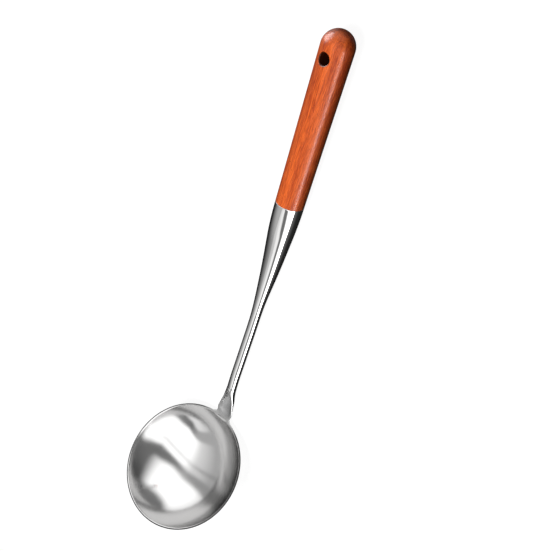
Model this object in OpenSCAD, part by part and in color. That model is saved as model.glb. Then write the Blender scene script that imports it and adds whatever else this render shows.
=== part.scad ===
// Steel cooking ladle with a turned wooden handle, laid down on a table.
// Row frame: +X runs from the dish to the butt, +Z is up, Y is across.
// The origin is on the table, under the middle of the whole length.
// Each piece is first built in the dish's own frame: rim plane level, rim centre at zero,
// handle rising over +X. laid() then tips the ladle until the socket touches the table.

/* [Dish] */

// outside diameter across the rim
dish_d = 110; // [100:1:120]

// outside depth, rim to bottom
dish_depth = 33; // [29:0.5:34]

// sheet thickness of the dish and of its neck
sheet_t = 1.5; // [1.2:0.1:1.8]

/* [Neck] */

// how far outside the rim the neck turns into a tube
neck_out = 17.8; // [16:0.1:20]

// how high above the rim the neck turns into a tube
neck_up = 19.1; // [17:0.1:21]

// slope of the open channel above the rim plane
neck_slope = 43; // [41:0.5:45]

// how fast the channel opens towards the dish
neck_flare = 20; // [16:1:22]

/* [Shank] */

// outside radius of the slim tube
tube_r = 4.25; // [3.9:0.05:4.6]

// wall thickness of the shank
shank_t = 1.2; // [1:0.1:1.4]

// slope of the slim tube where it leaves the neck
tube_slope = 36.8; // [36:0.1:39]

// how much the slim tube bends upwards along its length
tube_bend = 6.05; // [5:0.05:7]

// length of the slim bent tube
tube_len = 70; // [60:1:100]

// length of the straight flared part, up to the wood
flare_len = 114; // [114:1:125]

// outside radius of the socket at its mouth
socket_r = 11.2; // [10.5:0.1:12]

/* [Handle] */

// length of wood from the socket mouth to the centre of the domed butt
wood_len = 120.3; // [100:0.1:140]

// radius of the domed butt
butt_r = 12.2; // [11.6:0.1:13.5]

// radius of the hanging hole
hole_r = 3.75; // [3:0.05:4.5]

// distance of the hanging hole from the centre of the butt
hole_back = 7.9; // [6:0.1:14]

// length of the tenon inside the socket
tenon_len = 25; // [20:1:28]

/* [View] */

// which piece to show

/* [Hidden] */

$fn = 96;

// dish: middle surface is a sphere through the rim bead and the bottom
rim_r = sheet_t / 2;
bead_r = rim_r + 0.05;
mid_rim = dish_d / 2 - bead_r;
mid_depth = dish_depth - rim_r;
mid_r = (mid_rim * mid_rim + mid_depth * mid_depth) / (2 * mid_depth);
ball_z = mid_r - mid_depth;
outer_r = mid_r + rim_r;
inner_r = mid_r - rim_r;
rim_angle = atan2(mid_rim, ball_z);

// places along the middle plane are [x, z]
function dir(a) = [cos(a), sin(a)];
function up(a) = [-sin(a), cos(a)];

// neck: turn is where the channel becomes a tube, weld is the end of the pressed neck
stub_len = 9;
slot_len = 6;
neck_straight = 8;
neck_reach = 27;
turn = [dish_d / 2 + neck_out, neck_up];
weld = turn + stub_len * dir(tube_slope);
flare_start = turn - neck_straight * dir(neck_slope);
bore_r = tube_r - sheet_t;
slot_tip = turn + slot_len * dir(tube_slope) + tube_r * up(tube_slope);
slot_mid = turn - 3.4 * dir(neck_slope) - 0.3 * up(neck_slope);
weld_depth = 0.9;
neck_step = 0.05;
cutter = 80;

// shank: an arc of tube, then a straight flared socket
bend_r = tube_len / (tube_bend * PI / 180);
bend_c = weld + bend_r * up(tube_slope);
axis_slope = tube_slope + tube_bend;
knee = bend_c - bend_r * up(axis_slope);
joint = knee + flare_len * dir(axis_slope);
cone_rate = 0.0836;
blend_len = 15;
blend_steps = 8;
seam_step = 0.02;
mouth_r = socket_r - shank_t;
tenon_tip_r = mouth_r - 0.8;

// handle
butt = joint + wood_len * dir(axis_slope);
hole_at = butt - hole_back * dir(axis_slope);
ease = 0.8;
hole_reach = 11;

// pin
pin_r = 1;
pin_back = 12;
pin_in = 3;
pin_point = 1.2;

// distance from the mouth at which the flare's straight cone leaves each radius
function ramp(c, w) = w <= -1 ? 0 : w >= 1 ? c * w : c * (w + 1) * (w + 1) / 4;

// outside radius of the flare at distance d below the socket mouth
narrow_at = blend_len + (socket_r - tube_r) / cone_rate;
function flare_r(d) =
    socket_r
    - cone_rate * blend_len * ramp(1, (d - blend_len) / blend_len)
    + cone_rate * blend_len * ramp(1, (d - narrow_at) / blend_len);

flare_d = [
    0,
    for (k = [1 : blend_steps * 2]) k * blend_len / blend_steps,
    for (k = [0 : blend_steps * 2]) narrow_at - blend_len + k * blend_len / blend_steps
];

// lean: the dish and the lowest part of the handle line both touch the table
function rest_angle(p, r) = atan2(p[1] - ball_z, p[0]) + asin((outer_r - r) / norm(p - [0, ball_z]));
lean = min(concat(
    [for (d = flare_d) if (d < flare_len) rest_angle(joint - d * dir(axis_slope), flare_r(d))],
    [rest_angle(butt, butt_r)]
));
lift = outer_r - ball_z * cos(lean);
x_min = ball_z * sin(lean) - outer_r;
x_max = butt[0] * cos(lean) + butt[1] * sin(lean) + butt_r;
x_mid = (x_min + x_max) / 2;

module laid() {
    translate([-x_mid, 0, lift])
        rotate([0, lean, 0])
            children();
}

// puts its children at a middle-plane place, their +Z along a slope
module along(place, slope) {
    translate([place[0], 0, place[1]])
        rotate([0, 90 - slope, 0])
            children();
}

module dish_ball(r) {
    translate([0, 0, ball_z])
        sphere(r);
}

// the part of the outer ball below the rim
module dish_cap() {
    intersection() {
        dish_ball(outer_r);
        translate([0, 0, ball_z - 1.2 * outer_r])
            cylinder(r1 = 1.2 * outer_r * tan(rim_angle), r2 = 0, h = 1.2 * outer_r);
    }
}

module rim_bead() {
    rotate_extrude()
        translate([mid_rim, 0])
            circle(bead_r);
}

// half space beyond a place, on the far side of a plane square to a slope
module beyond(place, slope) {
    along(place, slope)
        translate([-cutter / 2, -cutter / 2, 0])
            cube(cutter);
}

// tube stub, a straight run, and a cone that opens towards the dish
// each one is a hair wider than the one before it
module neck_form(r) {
    along(turn - r * dir(tube_slope), tube_slope)
        cylinder(r = r, h = stub_len + r);
    along(flare_start, neck_slope)
        cylinder(r1 = r + 2 * neck_step, r2 = r + neck_step, h = neck_straight);
    difference() {
        along(flare_start - 4 * neck_step * up(neck_slope), neck_slope - neck_flare)
            translate([0, 0, -neck_reach])
                cylinder(
                    r1 = r / cos(neck_flare) + neck_reach * tan(neck_flare),
                    r2 = r / cos(neck_flare) - r * tan(neck_flare),
                    h = neck_reach + r
                );
        beyond(flare_start, neck_slope);
    }
}

// everything above the slanting mouth of the channel
module neck_opening() {
    rim_top = [dish_d / 2 + 0.8, bead_r];
    rotate([90, 0, 0])
        linear_extrude(height = 60, center = true)
            polygon([
                slot_tip + 2 * (slot_tip - slot_mid),
                slot_tip,
                slot_mid,
                rim_top,
                [20, bead_r],
                [20, 45]
            ]);
}

// ring with a V-shaped section; over makes it stand proud of the tube
module weld_ring(over) {
    along(weld, tube_slope)
        rotate_extrude()
            polygon([
                [tube_r + over, -weld_depth - over],
                [tube_r + over, weld_depth + over],
                [tube_r - weld_depth, 0]
            ]);
}

module bowl() {
    color([0.80, 0.81, 0.82])
        laid()
            difference() {
                union() {
                    difference() {
                        union() {
                            dish_cap();
                            neck_form(tube_r);
                        }
                        dish_ball(inner_r);
                    }
                    rim_bead();
                }
                neck_form(bore_r);
                neck_opening();
                weld_ring(1);
            }
}

module neck_weld() {
    color([0.70, 0.70, 0.70])
        laid()
            weld_ring(0);
}

module shank() {
    color([0.78, 0.79, 0.80])
        laid()
            difference() {
                union() {
                    translate([bend_c[0], 0, bend_c[1]])
                        rotate([90, 0, 0])
                            rotate([0, 0, tube_slope - 90])
                                rotate_extrude(angle = tube_bend)
                                    translate([bend_r, 0])
                                        difference() {
                                            circle(tube_r - seam_step);
                                            circle(tube_r - shank_t + seam_step);
                                        }
                    along(joint, axis_slope)
                        rotate_extrude()
                            polygon(concat(
                                [for (d = flare_d) if (d < flare_len) [flare_r(d), -d]],
                                [[tube_r, -flare_len], [tube_r - shank_t, -flare_len]],
                                [
                                    for (k = [len(flare_d) - 1 : -1 : 0])
                                        if (flare_d[k] > tenon_len && flare_d[k] < flare_len)
                                            [flare_r(flare_d[k]) - shank_t, -flare_d[k]]
                                ],
                                [[tenon_tip_r, -tenon_len], [mouth_r, 0]]
                            ));
                }
                weld_ring(1);
                pin_body(1);
            }
}

// straight pin, driven in from the underside, with a pointed inner end
// over lengthens its head end
module pin_body(over) {
    along(joint - pin_back * dir(axis_slope), axis_slope)
        rotate([0, 90, 0]) {
            translate([0, 0, pin_in + pin_point])
                cylinder(r = pin_r, h = flare_r(pin_back) - pin_in - pin_point + over);
            translate([0, 0, pin_in])
                cylinder(r1 = 0.2, r2 = pin_r, h = pin_point);
        }
}

module retaining_pin() {
    color([0.72, 0.72, 0.72])
        laid()
            pin_body(-0.05);
}

module hanging_hole() {
    along(hole_at, axis_slope)
        rotate([0, 90, 0]) {
            cylinder(r = hole_r, h = 4 * butt_r, center = true);
            for (side = [0, 1])
                mirror([0, 0, side])
                    translate([0, 0, hole_reach])
                        cylinder(r1 = hole_r, r2 = hole_r + 2 * ease, h = 2 * ease);
        }
}

module handle() {
    color([0.80, 0.36, 0.20])
        laid()
            difference() {
                union() {
                    along(joint, axis_slope)
                        cylinder(r1 = socket_r, r2 = butt_r, h = wood_len);
                    along(butt, axis_slope)
                        sphere(butt_r);
                    along(joint, axis_slope)
                        translate([0, 0, -tenon_len])
                            cylinder(r1 = tenon_tip_r, r2 = mouth_r, h = tenon_len);
                }
                hanging_hole();
                pin_body(1);
            }
}

bowl();
neck_weld();
shank();
handle();
retaining_pin();
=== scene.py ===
"""Steel ladle with a turned wooden handle, lying on a pale table.

Lengths inside the shape functions are millimetres in the dish's own frame: rim plane level,
rim centre at zero, handle rising over +X. REST lays that frame down on the table in metres.
"""
import math

import bpy
import numpy as np
from mathutils import Matrix, Vector


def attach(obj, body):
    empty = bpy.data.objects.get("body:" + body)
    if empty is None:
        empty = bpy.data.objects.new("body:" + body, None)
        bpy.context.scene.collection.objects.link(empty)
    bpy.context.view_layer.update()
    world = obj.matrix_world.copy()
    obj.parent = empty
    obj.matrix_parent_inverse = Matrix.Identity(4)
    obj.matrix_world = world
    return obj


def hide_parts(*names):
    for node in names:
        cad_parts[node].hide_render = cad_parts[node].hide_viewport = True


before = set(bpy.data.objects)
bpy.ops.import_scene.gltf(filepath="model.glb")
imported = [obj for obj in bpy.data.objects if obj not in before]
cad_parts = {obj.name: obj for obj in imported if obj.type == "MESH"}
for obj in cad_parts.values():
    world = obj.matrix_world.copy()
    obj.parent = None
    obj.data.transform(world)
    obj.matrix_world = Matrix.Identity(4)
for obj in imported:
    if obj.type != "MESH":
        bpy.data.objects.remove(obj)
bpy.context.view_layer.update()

# ---------------------------------------------------------------- sizes, as in the part's source
DISH_R = 55.0
DISH_DEPTH = 33.0
SHEET = 1.5
BEAD = 0.8
RIM_TOP = 0.55
MID_RIM = DISH_R - BEAD
MID_DEPTH = DISH_DEPTH - SHEET / 2
MID_R = (MID_RIM ** 2 + MID_DEPTH ** 2) / (2 * MID_DEPTH)
BALL_Z = MID_R - MID_DEPTH
OUTER_R = MID_R + SHEET / 2

TUBE_R = 4.25
TUBE_SLOPE = 36.8
TUBE_BEND = 6.05
TUBE_LEN = 70.0
FLARE_LEN = 114.0
STUB_LEN = 9.0
NECK_SLOPE = 43.0
SOCKET_R = 11.2
WOOD_LEN = 120.3
BUTT_R = 12.2
HOLE_R = 3.75
HOLE_BACK = 7.9
HOLE_EASE = 0.45
TENON_LEN = 25.0
SOCKET_WALL = 1.2
SOCKET_TAPER = 0.8
PIN_R = 1.0
PIN_BACK = 12.0
AXIS_SLOPE = TUBE_SLOPE + TUBE_BEND


def along(a):
    return np.array([math.cos(math.radians(a)), math.sin(math.radians(a))])


def above(a):
    return np.array([-math.sin(math.radians(a)), math.cos(math.radians(a))])


TURN = np.array([DISH_R + 17.8, 19.1])
WELD = TURN + STUB_LEN * along(TUBE_SLOPE)
BEND_R = TUBE_LEN / math.radians(TUBE_BEND)
BEND_C = WELD + BEND_R * above(TUBE_SLOPE)
KNEE = BEND_C - BEND_R * above(AXIS_SLOPE)
JOINT = KNEE + FLARE_LEN * along(AXIS_SLOPE)
BUTT = JOINT + WOOD_LEN * along(AXIS_SLOPE)

CONE_RATE = 0.0836
BLEND = 15.0
NARROW_AT = BLEND + (SOCKET_R - TUBE_R) / CONE_RATE


def ramp(w):
    return np.where(w <= -1, 0.0, np.where(w >= 1, w, (w + 1) ** 2 / 4))


def flare_r(d):
    """Outside radius of the socket at a distance below its mouth."""
    fall = CONE_RATE * BLEND
    return SOCKET_R - fall * ramp((d - BLEND) / BLEND) + fall * ramp((d - NARROW_AT) / BLEND)


def rest_angle(place, r):
    rise, run = place[1] - BALL_Z, place[0]
    return math.atan2(rise, run) + math.asin((OUTER_R - r) / math.hypot(rise, run))


FLARE_STEPS = np.arange(0.0, 100.0, 1.875)
LEAN = min(
    [rest_angle(JOINT - d * along(AXIS_SLOPE), float(flare_r(d))) for d in FLARE_STEPS]
    + [rest_angle(BUTT, BUTT_R)]
)
LIFT = OUTER_R - BALL_Z * math.cos(LEAN)
X_MIN = BALL_Z * math.sin(LEAN) - OUTER_R
X_MAX = BUTT[0] * math.cos(LEAN) + BUTT[1] * math.sin(LEAN) + BUTT_R
REST = Matrix.Translation((-(X_MIN + X_MAX) / 2000, 0, LIFT / 1000)) @ Matrix.Rotation(LEAN, 4, "Y")


def place_along(place, slope):
    """Frame at a place on the middle plane, its +Z along a slope and its +X towards the underside."""
    shift = Matrix.Translation((place[0] / 1000, 0, place[1] / 1000))
    return shift @ Matrix.Rotation(math.radians(90 - slope), 4, "Y")


# ---------------------------------------------------------------- smooth solids as distance fields
def soft_min(a, b, k):
    """Smaller of two fields, with the crease between them rounded over k."""
    h = np.clip(0.5 + 0.5 * (b - a) / k, 0.0, 1.0)
    return b + (a - b) * h - k * h * (1.0 - h)


def soft_max(a, b, k):
    return -soft_min(-a, -b, k)


def soft_abs(a, k):
    return np.sqrt(a * a + k * k)


def line_side(x, z, place, slope):
    """Signed distance above a line on the middle plane."""
    n = above(slope)
    return (x - place[0]) * n[0] + (z - place[1]) * n[1]


NECK_MID = (TUBE_SLOPE + NECK_SLOPE) / 2
NECK_HALF = math.tan(math.radians(NECK_SLOPE - TUBE_SLOPE) / 2)
NECK_DROP = 1.2
NECK_START = 36.0
SLOT_TIP = TURN + 5.6 * along(TUBE_SLOPE) + (TUBE_R - NECK_DROP - 0.3) * above(TUBE_SLOPE)
SLOT_MID = TURN - 3.4 * along(NECK_SLOPE) - 1.4 * above(NECK_SLOPE)


# How the neck changes on its way down to the dish: (change per mm, where it starts along the neck).
NECK_OPENS = ((0.0477, 6.5), (0.0477, -2.0), (0.0795, -14.0), (-0.1749, -20.0))
NECK_SAGS = ((0.10, 8.0), (-0.37, -6.0), (-0.40, -20.0))
NECK_WIDENS = ((0.024, 4.5), (-0.024, -20.0))


def change_along(s, changes, k=2.5):
    """Sum of straight changes, each eased in over k where s falls below its start."""
    return sum(rate * (start - s + soft_abs(start - s, k)) / 2 for rate, start in changes)


def neck_solid(x, y, z):
    """The form the sheet is wrapped on: a tube that sags, opens and flattens towards the dish.

    s runs along the neck from its turn, negative towards the dish, and v stands above its axis.
    """
    a, n = along(NECK_MID), above(NECK_MID)
    s = (x - TURN[0]) * a[0] + (z - TURN[1]) * a[1]
    v = (x - TURN[0]) * n[0] + (z - TURN[1]) * n[1]
    v = v + NECK_HALF * soft_abs(s, 3.0) + NECK_DROP + change_along(s, NECK_SAGS)
    radius = TUBE_R - SHEET / 2 + change_along(s, NECK_OPENS)
    wide = 1 + change_along(s, NECK_WIDENS)
    ring = np.sqrt((y / wide) ** 2 + v * v) + 1e-9
    steep = np.sqrt((y / wide ** 2) ** 2 + v * v) + 1e-9
    side = (ring - radius) * ring / steep / 1.05
    return soft_max(side, -(s + NECK_START), 3.0)


def dish_form(x, y, z):
    """Middle surface of the sheet: the dish's ball run into the neck."""
    ball = np.sqrt(x * x + y * y + (z - BALL_Z) ** 2) - MID_R
    return soft_min(ball, neck_solid(x, y, z), 5.0)


def dish_field(x, y, z):
    """Sheet of the dish and neck, open above the rim and along the neck's trough, cut flat at the weld."""
    sheet = np.abs(dish_form(x, y, z)) - SHEET / 2
    slot_start = np.array([DISH_R + 0.4, 0.4])
    slope = math.degrees(math.atan2(SLOT_MID[1], SLOT_MID[0] - slot_start[0]))
    tip = math.degrees(math.atan2(*(SLOT_TIP - SLOT_MID)[::-1]))
    mouth = soft_min(z - RIM_TOP, line_side(x, z, slot_start, slope), 3.0)
    mouth = soft_min(mouth, line_side(x, z, SLOT_MID, tip), 2.0)
    open_sheet = soft_max(sheet, mouth, 0.9)
    a = along(TUBE_SLOPE)
    end = (x - WELD[0]) * a[0] + (z - WELD[1]) * a[1]
    return np.maximum(open_sheet, end)


def handle_field(x, y, z):
    """Own frame: +Z from the joint to the butt, +X towards the underside."""
    r = SOCKET_R + (BUTT_R - SOCKET_R) * np.clip(z / WOOD_LEN, 0, 1)
    ring = np.sqrt(x * x + y * y)
    beyond = np.maximum(z - WOOD_LEN, 0)
    body = np.sqrt(ring * ring + beyond * beyond) - r
    body = soft_max(body, -z, 0.5)
    bore = HOLE_R + HOLE_EASE - np.sqrt((z - (WOOD_LEN - HOLE_BACK)) ** 2 + y * y)
    body = soft_max(body, bore, 1.5)
    tenon_r = SOCKET_R - SOCKET_WALL + SOCKET_TAPER * z / TENON_LEN
    tenon = np.maximum(ring - tenon_r, np.maximum(z - 0.5, -z - TENON_LEN))
    return np.minimum(body, tenon)


def where_shade_is_painted(points):
    """Weights of painted shade: the edge of the rim, the neck's trough and its outside."""
    x, y, z = points.T
    outer = np.interp(np.hypot(x, y), [MID_RIM - 0.35, MID_RIM - 0.05], [0, 1])
    edge = outer * np.interp(x, [50, 54], [1, 0])
    under = np.interp(dish_form(x, y, z), [-0.4, 0.4], [0, 1])
    neck = np.interp(x, [54.5, 57.5], [0, 1])
    return np.stack([edge, neck * (1 - under), neck * under], 1)


def gradient(field, p, h=0.02):
    g = np.empty_like(p)
    for k in range(3):
        d = np.zeros(3)
        d[k] = h
        hi, lo = p + d, p - d
        g[:, k] = (field(*hi.T) - field(*lo.T)) / (2 * h)
    return g


def sample(field, low, count, step, block=8):
    """Field on a grid; blocks far from the surface hold only the sign of their middle."""
    grid = np.empty(count, np.float32)
    starts = [np.arange(0, n, block) for n in count]
    bx, by, bz = np.meshgrid(*starts, indexing="ij")
    corners = np.stack([bx, by, bz], -1).reshape(-1, 3)
    middle = low + (corners + block / 2) * step
    value = field(*middle.T)
    reach = block * step * 1.0 + 2 * step
    near = np.abs(value) < reach
    for (i, j, k), v, hot in zip(corners, value, near):
        i2, j2, k2 = min(i + block, count[0]), min(j + block, count[1]), min(k + block, count[2])
        if hot:
            spans = ((0, i, i2), (1, j, j2), (2, k, k2))
            xs, ys, zs = (low[a] + step * np.arange(b, c) for a, b, c in spans)
            X, Y, Z = np.meshgrid(xs, ys, zs, indexing="ij")
            grid[i:i2, j:j2, k:k2] = field(X, Y, Z)
        else:
            grid[i:i2, j:j2, k:k2] = v
    return grid


def skin(field, low, high, step):
    """Quads over the zero surface of a field, one vertex a cell, moved onto the surface."""
    low = np.array(low, float)
    count = [int(math.ceil((h - l) / step)) + 1 for l, h in zip(low, high)]
    grid = sample(field, low, count, step)
    inside = grid < 0
    n = [c - 1 for c in count]
    offsets = [(i, j, k) for i in (0, 1) for j in (0, 1) for k in (0, 1)]
    total = np.zeros(n, np.int8)
    for i, j, k in offsets:
        total += inside[i:i + n[0], j:j + n[1], k:k + n[2]]
    cells = np.argwhere((total > 0) & (total < 8))
    ids = np.full(n, -1, np.int32)
    ids[tuple(cells.T)] = np.arange(len(cells))
    corner = {o: grid[tuple((cells + o).T)].astype(float) for o in offsets}
    spot = np.zeros((len(cells), 3))
    hits = np.zeros(len(cells))
    for a in offsets:
        for axis in range(3):
            if a[axis]:
                continue
            b = tuple(a[q] + (1 if q == axis else 0) for q in range(3))
            fa, fb = corner[a], corner[b]
            cross = (fa < 0) != (fb < 0)
            t = np.where(cross, fa / np.where(cross, fa - fb, 1), 0)
            for q in range(3):
                spot[:, q] += np.where(cross, a[q] + (t if q == axis else 0), 0)
            hits += cross
    points = low + step * (cells + spot / hits[:, None])
    quads = []
    for axis in range(3):
        u, v = (axis + 1) % 3, (axis + 2) % 3
        first = [slice(1, c - 1) for c in count]
        second = [slice(1, c - 1) for c in count]
        first[axis] = slice(0, count[axis] - 1)
        second[axis] = slice(1, count[axis])
        s0, s1 = inside[tuple(first)], inside[tuple(second)]
        edges = np.argwhere(s0 != s1)
        flip = s0[tuple(edges.T)]
        base = edges + 1
        base[:, axis] -= 1
        around = []
        for du, dv in ((0, 0), (-1, 0), (-1, -1), (0, -1)):
            c = base.copy()
            c[:, u] += du
            c[:, v] += dv
            around.append(ids[tuple(c.T)])
        q = np.stack(around, 1)
        q[~flip] = q[~flip][:, ::-1]
        quads.append(q)
    quads = np.concatenate(quads)
    for sweep in range(3):
        total_at = np.zeros_like(points)
        weight = np.zeros(len(points))
        for a in range(4):
            for b in ((a + 1) % 4, (a + 3) % 4):
                np.add.at(total_at, quads[:, a], points[quads[:, b]])
                np.add.at(weight, quads[:, a], 1)
        moved = total_at / np.maximum(weight, 1)[:, None]
        points = points + 0.5 * (moved - points)
        for again in range(3):
            g = gradient(field, points)
            size = np.maximum((g * g).sum(1), 0.25)
            shift = field(*points.T)[:, None] * g / size[:, None]
            length = np.linalg.norm(shift, axis=1, keepdims=True)
            points = points - shift * np.minimum(1, step / np.maximum(length, 1e-9))
    g = gradient(field, points, 0.05)
    return points, quads, g / np.linalg.norm(g, axis=1, keepdims=True)


# ---------------------------------------------------------------- objects
def add_mesh(name, points, faces, matrix, normals=None, flow=None):
    """Points in millimetres, laid down by the matrix; "flow" keeps where the surface patterns run."""
    points = np.asarray(points, float)
    turn = np.array(matrix.to_3x3())
    mesh = bpy.data.meshes.new(name)
    mesh.from_pydata((points / 1000 @ turn.T + np.array(matrix.translation)).tolist(), [],
                     [list(map(int, f)) for f in faces])
    mesh.polygons.foreach_set("use_smooth", [True] * len(mesh.polygons))
    layer = mesh.attributes.new("flow", "FLOAT_VECTOR", "POINT")
    layer.data.foreach_set("vector", np.asarray(points if flow is None else flow, np.float32).ravel())
    mesh.update()
    if normals is not None:
        mesh.normals_split_custom_set_from_vertices((np.asarray(normals) @ turn.T).tolist())
    obj = bpy.data.objects.new(name, mesh)
    bpy.context.collection.objects.link(obj)
    return obj


def turned(profile, steps=96):
    """Points and quads of a closed ring section turned about Z; profile is [(radius, height)]."""
    ang = np.linspace(0, 2 * math.pi, steps, endpoint=False)
    prof = np.array(profile)
    pts = np.stack([
        np.outer(np.cos(ang), prof[:, 0]),
        np.outer(np.sin(ang), prof[:, 0]),
        np.tile(prof[:, 1], (steps, 1)),
    ], -1).reshape(-1, 3)
    m = len(prof)
    faces = [
        (i * m + j, ((i + 1) % steps) * m + j, ((i + 1) % steps) * m + (j + 1) % m, i * m + (j + 1) % m)
        for i in range(steps) for j in range(m)
    ]
    return pts, faces


def centre_line(s):
    """Place and slope on the shank's centre line, s mm from the weld; hand bending leaves a slight sway."""
    wave = math.sin(2 * math.pi * min(s / 168, 1))
    sway = 0.6 * wave * abs(wave) - NECK_DROP * max(0.0, 1 - s / 20) ** 2
    if s < TUBE_LEN:
        slope = TUBE_SLOPE + TUBE_BEND * s / TUBE_LEN
        return BEND_C - (BEND_R - sway) * above(slope), slope
    return KNEE + (s - TUBE_LEN) * along(AXIS_SLOPE) + sway * above(AXIS_SLOPE), AXIS_SLOPE


def shank_mesh():
    """Tube swept along the centre line: outside wall, rolled mouth, inside wall.

    Its "flow" is millimetres along, radians round, and the radius.
    """
    whole = TUBE_LEN + FLARE_LEN
    lip = 0.32
    steps = 96
    rows = []
    for s in np.linspace(0, whole - lip, 240):
        rows.append((s, float(flare_r(whole - s)) if s > TUBE_LEN else TUBE_R))
    for q in np.linspace(0, 90, 6)[1:]:
        rows.append((
            whole - lip + lip * math.sin(math.radians(q)),
            SOCKET_R - lip + lip * math.cos(math.radians(q)),
        ))
    rows.append((whole, SOCKET_R - SOCKET_WALL))
    rows.append((whole - TENON_LEN, SOCKET_R - SOCKET_WALL - SOCKET_TAPER))
    for s in np.linspace(whole - TENON_LEN - 2, 0, 60):
        r = float(flare_r(whole - s)) if s > TUBE_LEN else TUBE_R
        rows.append((s, r - SOCKET_WALL))
    pts, flow = [], []
    for s, r in rows:
        place, slope = centre_line(min(s, whole))
        up = above(slope)
        for k in range(steps):
            t = 2 * math.pi * k / steps
            raised = place + r * math.cos(t) * up
            pts.append((raised[0], r * math.sin(t), raised[1]))
            flow.append((s, t, r))
    faces = []
    m = len(rows)
    for i in range(m):
        for k in range(steps):
            a, b = i * steps + k, i * steps + (k + 1) % steps
            c, d = ((i + 1) % m) * steps + (k + 1) % steps, ((i + 1) % m) * steps + k
            faces.append((a, b, c, d))
    return pts, faces, flow


# ---------------------------------------------------------------- materials
def new_material(name):
    mat = bpy.data.materials.new(name)
    mat.use_nodes = True
    tree = mat.node_tree
    return mat, tree.nodes, tree.links, tree.nodes["Principled BSDF"]


def steel(name, tint, rough, polish, stretch, edge=0.4):
    """Polished stainless: fine polishing lines and patches of more or less gloss."""
    mat, nodes, links, shader = new_material(name)
    shader.inputs["Metallic"].default_value = 1.0
    shader.inputs["Base Color"].default_value = (*tint, 1)
    shader.inputs["Specular Tint"].default_value = (edge, edge, edge, 1)
    coord = nodes.new("ShaderNodeAttribute")
    coord.attribute_name = "flow"
    scale = nodes.new("ShaderNodeMapping")
    scale.inputs["Scale"].default_value = stretch
    links.new(coord.outputs["Vector"], scale.inputs["Vector"])
    lines = nodes.new("ShaderNodeTexNoise")
    lines.inputs["Scale"].default_value = 1.0
    lines.inputs["Detail"].default_value = 3.0
    links.new(scale.outputs["Vector"], lines.inputs["Vector"])
    cloud = nodes.new("ShaderNodeTexNoise")
    cloud.inputs["Scale"].default_value = 0.06
    cloud.inputs["Detail"].default_value = 4.0
    links.new(coord.outputs["Vector"], cloud.inputs["Vector"])
    span = nodes.new("ShaderNodeMapRange")
    span.inputs["From Min"].default_value = 0.3
    span.inputs["From Max"].default_value = 0.7
    span.inputs["To Min"].default_value = rough - polish
    span.inputs["To Max"].default_value = rough + polish
    links.new(cloud.outputs["Fac"], span.inputs["Value"])
    both = nodes.new("ShaderNodeMath")
    both.operation = "MULTIPLY_ADD"
    links.new(lines.outputs["Fac"], both.inputs[0])
    both.inputs[1].default_value = polish
    links.new(span.outputs["Result"], both.inputs[2])
    links.new(both.outputs[0], shader.inputs["Roughness"])
    bump = nodes.new("ShaderNodeBump")
    bump.inputs["Strength"].default_value = 0.05
    bump.inputs["Distance"].default_value = 0.0002
    links.new(lines.outputs["Fac"], bump.inputs["Height"])
    links.new(bump.outputs["Normal"], shader.inputs["Normal"])
    return mat


def paint_shade_on_dish(mat, tint, edge):
    """Painted shade on the dish: a near-black rim edge, a greyer neck trough and a dimmer reflection on the
    neck's outside; the trough is also made rougher. The attribute holds how far, as three parts.
    """
    nodes, links = mat.node_tree.nodes, mat.node_tree.links
    shader = nodes["Principled BSDF"]
    painted_shade = nodes.new("ShaderNodeAttribute")
    painted_shade.attribute_name = "painted_shade"
    part = nodes.new("ShaderNodeSeparateXYZ")
    links.new(painted_shade.outputs["Vector"], part.inputs[0])
    rim, trough, outside = (part.outputs[axis] for axis in "XYZ")

    def toward_grey(factor, grey):
        mix = nodes.new("ShaderNodeMix")
        mix.data_type = "RGBA"
        mix.inputs["B"].default_value = (grey, grey, grey, 1)
        links.new(factor, mix.inputs["Factor"])
        return mix

    # Painted shade: the rim's edge turns near black and the neck's trough greyer.
    dark_rim = toward_grey(rim, 0.02)
    dark_rim.inputs["A"].default_value = (*tint, 1)
    shaded_trough = toward_grey(trough, 0.36)
    links.new(dark_rim.outputs["Result"], shaded_trough.inputs["A"])
    links.new(shaded_trough.outputs["Result"], shader.inputs["Base Color"])
    # Painted shade: a dimmer grazing reflection on the neck's outside.
    grazing = toward_grey(outside, 0.3)
    grazing.inputs["A"].default_value = (edge, edge, edge, 1)
    links.new(grazing.outputs["Result"], shader.inputs["Specular Tint"])
    rougher = nodes.new("ShaderNodeMath")
    rougher.operation = "MULTIPLY_ADD"
    rougher.inputs[1].default_value = 0.28
    links.new(trough, rougher.inputs[0])
    links.new(shader.inputs["Roughness"].links[0].from_socket, rougher.inputs[2])
    links.new(rougher.outputs[0], shader.inputs["Roughness"])


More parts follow.
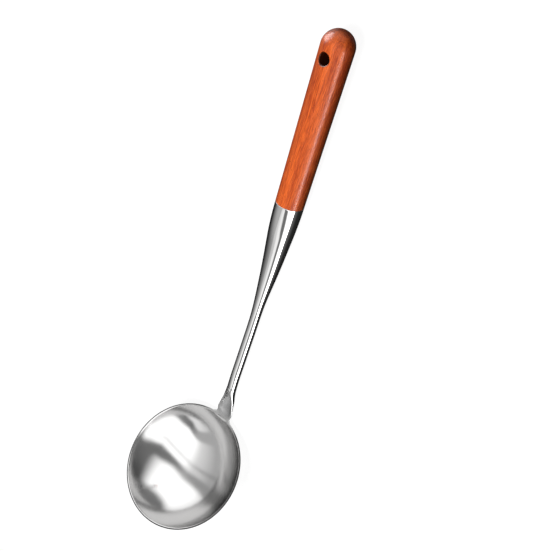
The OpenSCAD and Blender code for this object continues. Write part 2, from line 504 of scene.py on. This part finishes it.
def lacquered_wood():
    """Red-brown hardwood turned along the grain, under a clear gloss coat."""
    mat, nodes, links, shader = new_material("lacquered_wood")
    coord = nodes.new("ShaderNodeAttribute")
    coord.attribute_name = "flow"

    def grain(scale, stretch, detail, distort=0.0):
        place = nodes.new("ShaderNodeMapping")
        place.inputs["Scale"].default_value = (1, 1, stretch)
        links.new(coord.outputs["Vector"], place.inputs["Vector"])
        noise = nodes.new("ShaderNodeTexNoise")
        noise.inputs["Scale"].default_value = scale
        noise.inputs["Detail"].default_value = detail
        noise.inputs["Distortion"].default_value = distort
        links.new(place.outputs["Vector"], noise.inputs["Vector"])
        return noise.outputs["Fac"]

    broad = grain(0.22, 0.10, 3.0, 0.8)
    fine = grain(1.9, 0.07, 4.0, 0.2)
    pores = grain(3.4, 0.12, 2.0)
    tone = nodes.new("ShaderNodeValToRGB")
    tone.color_ramp.elements[0].position = 0.38
    tone.color_ramp.elements[0].color = (0.42, 0.045, 0.006, 1)
    tone.color_ramp.elements[1].position = 0.60
    tone.color_ramp.elements[1].color = (0.92, 0.165, 0.026, 1)
    blend = nodes.new("ShaderNodeMath")
    blend.operation = "MULTIPLY_ADD"
    blend.inputs[1].default_value = 0.55
    links.new(fine, blend.inputs[0])
    half = nodes.new("ShaderNodeMath")
    half.operation = "MULTIPLY"
    half.inputs[1].default_value = 0.45
    links.new(broad, half.inputs[0])
    links.new(half.outputs[0], blend.inputs[2])
    links.new(blend.outputs[0], tone.inputs["Fac"])
    pit = nodes.new("ShaderNodeMapRange")
    pit.inputs["From Min"].default_value = 0.62
    pit.inputs["From Max"].default_value = 0.74
    links.new(pores, pit.inputs["Value"])
    dark = nodes.new("ShaderNodeMix")
    dark.data_type = "RGBA"
    dark.inputs["B"].default_value = (0.20, 0.022, 0.006, 1)
    links.new(pit.outputs["Result"], dark.inputs["Factor"])
    links.new(tone.outputs["Color"], dark.inputs["A"])
    # Painted shade: the wood's colour falls to a tenth inside the hanging hole and round its mouth.
    across = nodes.new("ShaderNodeVectorMath")
    across.operation = "MULTIPLY_ADD"
    across.inputs[1].default_value = (0, 1, 1)
    across.inputs[2].default_value = (0, 0, HOLE_BACK - WOOD_LEN)
    links.new(coord.outputs["Vector"], across.inputs[0])
    reach = nodes.new("ShaderNodeVectorMath")
    reach.operation = "LENGTH"
    links.new(across.outputs["Vector"], reach.inputs[0])
    hole_shade = nodes.new("ShaderNodeMapRange")
    hole_shade.inputs["From Min"].default_value = HOLE_R + 0.85
    hole_shade.inputs["From Max"].default_value = HOLE_R + 1.35
    hole_shade.inputs["To Min"].default_value = 0.10
    links.new(reach.outputs["Value"], hole_shade.inputs["Value"])
    shaded_near_hole = nodes.new("ShaderNodeVectorMath")
    shaded_near_hole.operation = "SCALE"
    links.new(dark.outputs["Result"], shaded_near_hole.inputs[0])
    links.new(hole_shade.outputs["Result"], shaded_near_hole.inputs["Scale"])
    links.new(shaded_near_hole.outputs["Vector"], shader.inputs["Base Color"])
    shader.inputs["Roughness"].default_value = 0.42
    shader.inputs["Specular IOR Level"].default_value = 0.08
    shader.inputs["Coat Weight"].default_value = 0.28
    shader.inputs["Coat Roughness"].default_value = 0.23
    shader.inputs["Coat IOR"].default_value = 1.5
    bump = nodes.new("ShaderNodeBump")
    bump.inputs["Strength"].default_value = 0.12
    bump.inputs["Distance"].default_value = 0.0003
    links.new(blend.outputs[0], bump.inputs["Height"])
    links.new(bump.outputs["Normal"], shader.inputs["Normal"])
    return mat


# ---------------------------------------------------------------- the ladle
points, quads, normals = skin(dish_field, (-57, -57, -35), (83, 57, 30), 0.5)
dish = add_mesh("dish_and_neck", points, quads, REST, normals)
# Painted shade: near black at the rim's edge, greyer in the neck's trough, a dimmer reflection on the
# neck's outside.
dish.data.attributes.new("painted_shade", "FLOAT_VECTOR", "POINT").data.foreach_set(
    "vector", where_shade_is_painted(points).astype(np.float32).ravel())
DISH_TINT = (0.505, 0.502, 0.50)
DISH_EDGE = 0.78
dish_steel = steel("polished_dish", DISH_TINT, 0.14, 0.03, (0.9, 0.9, 0.9), DISH_EDGE)
paint_shade_on_dish(dish_steel, DISH_TINT, DISH_EDGE)
dish.data.materials.append(dish_steel)
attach(dish, "root")
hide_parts("bowl")

points, faces, flow = shank_mesh()
shank = add_mesh("hollow_shank", points, faces, REST, flow=flow)
shank.data.materials.append(steel("polished_shank", (0.57, 0.567, 0.562), 0.04, 0.02, (0.06, 3.0, 0.4)))
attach(shank, "root")
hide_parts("shank")

points, faces = turned([
    (TUBE_R + 0.004, -0.9), (TUBE_R + 0.012, -0.85), (TUBE_R + 0.012, 0.85), (TUBE_R + 0.004, 0.9),
    (TUBE_R - 0.1, 0.8), (TUBE_R - 0.9, 0.0), (TUBE_R - 0.1, -0.8),
])
weld_place = place_along(WELD - NECK_DROP * above(TUBE_SLOPE), TUBE_SLOPE)
weld = add_mesh("flush_weld", points, faces, REST @ weld_place)
weld.data.materials.append(steel("ground_weld", (0.56, 0.557, 0.552), 0.10, 0.03, (1.2, 1.2, 1.2)))
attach(weld, "root")
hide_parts("neck_weld")

points, quads, normals = skin(handle_field, (-14, -14, -27), (14, 14, 136), 0.4)
handle = add_mesh("turned_handle", points, quads, REST @ place_along(JOINT, AXIS_SLOPE), normals)
handle.data.materials.append(lacquered_wood())
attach(handle, "root")
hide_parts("handle")

head = float(flare_r(PIN_BACK))
points, faces = turned([
    (0.001, 3.0), (PIN_R, 4.2), (PIN_R, head - 0.25), (0.85 * PIN_R, head - 0.05), (0.001, head - 0.05),
], 32)
pin_place = place_along(JOINT - PIN_BACK * along(AXIS_SLOPE), AXIS_SLOPE)
pin = add_mesh("steel_brad", points, faces, REST @ pin_place @ Matrix.Rotation(math.pi / 2, 4, "Y"))
pin.data.materials.append(steel("plain_pin", (0.62, 0.61, 0.60), 0.28, 0.06, (2.0, 2.0, 2.0)))
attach(pin, "root")
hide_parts("retaining_pin")

# ---------------------------------------------------------------- camera
# Placed in the dish's frame, where it was fitted to the outline of the rim and the handle.
CAMERA_PLACE = (0.11518, -0.29891, 0.62502)
CAMERA_RIGHT = (0.64395, -0.69517, -0.31949)
CAMERA_UP = (0.75906, 0.52828, 0.38047)

camera_data = bpy.data.cameras.new("camera")
camera_data.lens = 50.0
camera_data.sensor_width = 36.0
camera_data.clip_start = 0.01
camera = bpy.data.objects.new("camera", camera_data)
right, up = Vector(CAMERA_RIGHT).normalized(), Vector(CAMERA_UP).normalized()
axes = Matrix((right, up, right.cross(up))).transposed().to_4x4()
camera.matrix_world = REST @ Matrix.Translation(CAMERA_PLACE) @ axes
bpy.context.collection.objects.link(camera)
bpy.context.scene.camera = camera

# ---------------------------------------------------------------- table, lamps and room
floor_mesh = bpy.data.meshes.new("table_top")
floor_mesh.from_pydata([(-6, -6, 0), (6, -6, 0), (6, 6, 0), (-6, 6, 0)], [], [(0, 1, 2, 3)])
floor = bpy.data.objects.new("table_top", floor_mesh)
bpy.context.collection.objects.link(floor)
floor.visible_glossy = False
floor.visible_diffuse = False
floor_mat, nodes, links, shader = new_material("pale_table")
shader.inputs["Base Color"].default_value = (0.15, 0.15, 0.15, 1)
shader.inputs["Roughness"].default_value = 0.9
shader.inputs["Specular IOR Level"].default_value = 0.0
shader.inputs["Emission Color"].default_value = (1, 1, 1, 1)
shader.inputs["Emission Strength"].default_value = 0.94
floor_mesh.materials.append(floor_mat)


world = bpy.data.worlds.new("light_tent")
world.use_nodes = True
bpy.context.scene.world = world
nodes, links = world.node_tree.nodes, world.node_tree.links
toward = nodes.new("ShaderNodeTexCoord").outputs["Generated"]


def join(operation, *parts):
    """One maths operation run through any number of sockets and numbers."""
    out = parts[0]
    for part in parts[1:]:
        node = nodes.new("ShaderNodeMath")
        node.operation = operation
        for socket, value in zip(node.inputs, (out, part)):
            if isinstance(value, (int, float)):
                socket.default_value = value
            else:
                links.new(value, socket)
        out = node.outputs[0]
    return out


def fade(value, start, end, low=0.0, high=1.0, soft=True):
    """Low before start, high after end; start may lie above end."""
    if start > end:
        start, end, low, high = end, start, high, low
    node = nodes.new("ShaderNodeMapRange")
    node.interpolation_type = "SMOOTHSTEP" if soft else "LINEAR"
    for name, number in zip(("From Min", "From Max", "To Min", "To Max"), (start, end, low, high)):
        node.inputs[name].default_value = number
    links.new(value, node.inputs["Value"])
    return node.outputs["Result"]


def turn_of(axis):
    """Cosine of the angle between the direction looked along and an axis."""
    dot = nodes.new("ShaderNodeVectorMath")
    dot.operation = "DOT_PRODUCT"
    dot.inputs[1].default_value = axis
    links.new(toward, dot.inputs[0])
    return dot.outputs["Value"]


def degrees_of(operation, *parts):
    """An inverse angle function of the sockets, in degrees."""
    node = nodes.new("ShaderNodeMath")
    node.operation = operation
    for socket, value in zip(node.inputs, parts):
        links.new(value, socket)
    return join("MULTIPLY", node.outputs[0], 180 / math.pi)


# The tent is two soft cloths, upper and lower, that meet along a seam. "rise" is the angle towards the
# tent's pole, "swing" the angle round it, and "height" the angle above the table. All are in degrees.
POLE = Vector((-0.70, -0.15, 0.69)).normalized()
FRONT = Vector((0.707, 0, 0.707))
FRONT = (FRONT - POLE * FRONT.dot(POLE)).normalized()
SIDE = POLE.cross(FRONT)
rise = degrees_of("ARCSINE", turn_of(POLE))
swing = degrees_of("ARCTAN2", turn_of(SIDE), turn_of(FRONT))
height = degrees_of("ARCSINE", turn_of((0, 0, 1)))
seam_height = join("MINIMUM", join("MAXIMUM", join("MULTIPLY", swing, -0.2), -3.0),
                   fade(swing, -90, -50, -7.0, 10.0, False))
above_seam = join("DIVIDE", join("SUBTRACT", rise, seam_height), fade(swing, -75, -52, 2.6, 1.0))
above_bar = join("ADD", rise, fade(swing, -32, 12, 0.0, 11.0), fade(swing, -70, -98, 0.0, 4.5))

CLOTH = 1.9

# Upper cloth: it ends at a dark bar, with a bright patch beyond at the pole and one fold above the seam.
cloth = join("MULTIPLY", fade(above_bar, 66.0, 59.0), fade(swing, -2, 24, 1.0, 0.55),
             fade(swing, 24, 72, 1.0, 0.42, False), CLOTH)
pole_patch = join("MULTIPLY", fade(above_bar, 72, 80), fade(swing, 0, 75, 1.25, 0.85))
bar = join("MULTIPLY", fade(swing, -30, 15, 0.14, 0.60), fade(swing, -90, -70, 0.2, 1.0))
fold = join("MULTIPLY", fade(above_seam, 10.5, 14), fade(above_seam, 18, 14), fade(swing, -64, -50))
upper = join("MULTIPLY", join("MAXIMUM", cloth, pole_patch, bar), fade(above_seam, -1, 5),
             join("SUBTRACT", 1.0, join("MULTIPLY", fold, 0.42)), fade(height, -6, 8),
             fade(swing, 72, 118, 1.0, 0.08))

# Lower cloth, then the dim grey where neither hangs, and a narrow strip lamp low at the side for the wood.
lower_edge = join("ADD", above_seam, fade(swing, -42, -8, 7.0, 0.0))
lower = join("MULTIPLY", fade(lower_edge, -3.5, -15), fade(swing, -66, -24), fade(rise, -66, -50),
             fade(swing, 40, 85, 1.0, 0.65), fade(swing, 92, 118, 1.0, 0.0), CLOTH)
shade_level = join("ADD", 0.22, join("MULTIPLY", fade(swing, -12, 10, 0.0, 0.22), fade(rise, -62, -45)))
shade = join("MULTIPLY", shade_level,
             join("MAXIMUM", fade(height, -40, 5, 0.12, 1.0), fade(rise, -45, -60)),
             fade(swing, 78, 108, 1.0, 0.12))
strip = join("MULTIPLY", fade(height, -5, 5), fade(height, 18, 8),
             fade(turn_of((-0.602, -0.799, 0)), 0.84, 0.93), 15.0)
light = join("MULTIPLY", join("MAXIMUM", upper, lower, shade, strip), 1.2)
nodes["Background"].inputs["Color"].default_value = (1, 1, 1, 1)
links.new(light, nodes["Background"].inputs["Strength"])
world.cycles_visibility.diffuse = False


def soft_lamp(name, away, distance, size, watts):
    """Square lamp for the wood, aimed at the middle of the ladle; the steel shows the tent only."""
    data = bpy.data.lights.new(name, "AREA")
    data.size = size
    data.energy = watts
    lamp = bpy.data.objects.new(name, data)
    away = Vector(away).normalized()
    lamp.location = away * distance
    lamp.rotation_euler = away.to_track_quat("Z", "Y").to_euler()
    lamp.visible_glossy = False
    bpy.context.collection.objects.link(lamp)
    return lamp


soft_lamp("key", (-0.044, -0.17, 0.984), 1.2, 0.5, 13.5)
soft_lamp("fill", (0.488, -0.4875, 0.724), 1.4, 1.0, 1.8)

glint = soft_lamp("glint", (0.58, 0.76, 0.31), 1.0, 0.7, 24.0)
glint.visible_glossy, glint.visible_diffuse = True, False
wood_only = bpy.data.collections.new("wood_only")
wood_only.objects.link(handle)
glint.light_linking.receiver_collection = wood_only
bpy.context.scene.view_settings.view_transform = "Standard"
